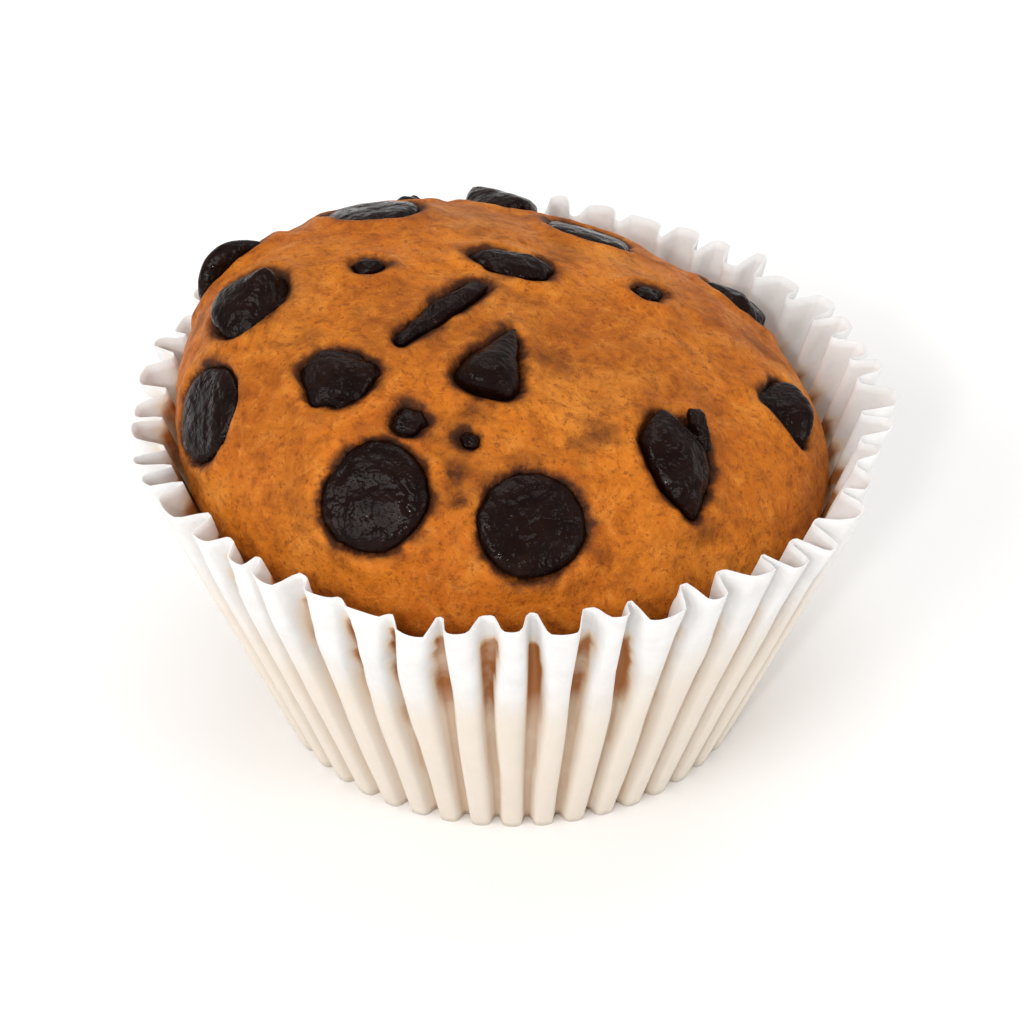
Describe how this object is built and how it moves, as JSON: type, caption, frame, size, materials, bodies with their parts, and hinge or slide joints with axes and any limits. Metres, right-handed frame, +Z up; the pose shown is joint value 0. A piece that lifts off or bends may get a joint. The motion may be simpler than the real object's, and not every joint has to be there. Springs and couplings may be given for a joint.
{
  "type": "chocolate chip muffin in a paper baking cup",
  "caption": "Domed chocolate chip muffin standing in a round fluted white paper baking cup, with poured chips and broken pieces set into its crust.",
  "frame": {"origin": "centre of the paper cup's flat foot, on the surface that the muffin stands on", "axes": "+Z up; -Y is the side with the two round chips near the rim; the dome is highest towards -X"},
  "size_m": [0.0796, 0.0796, 0.0537],
  "materials": {
    "cup_paper": "matt white greaseproof paper, pressed into flutes, faintly greasy in the folds",
    "baked_crust": "golden brown baked crust, smooth skin with fine pores, satin where fat has come up",
    "dark_chocolate": "dark chocolate, melted and set again, soft gloss"
  },
  "bodies": {
    "root": {"paper_cup": "cup_paper", "muffin_cake": "baked_crust", "chip_front_left": "dark_chocolate", "chip_front_centre": "dark_chocolate", "chip_upper_centre": "dark_chocolate", "chip_left": "dark_chocolate", "chip_left_top": "dark_chocolate", "chip_left_back": "dark_chocolate", "chip_back_top": "dark_chocolate", "chip_back": "dark_chocolate", "chip_back_right": "dark_chocolate", "chip_right": "dark_chocolate", "chip_upper_left": "dark_chocolate", "chip_in_crack": "dark_chocolate", "chip_top": "dark_chocolate", "fragment_top_left": "dark_chocolate", "fragment_top_right": "dark_chocolate", "fragment_front": "dark_chocolate", "fragment_front_small": "dark_chocolate", "chip_back_left": "dark_chocolate", "fragment_back": "dark_chocolate", "chip_right_back": "dark_chocolate", "chip_right_broken": "dark_chocolate"}
  },
  "joints": []
}
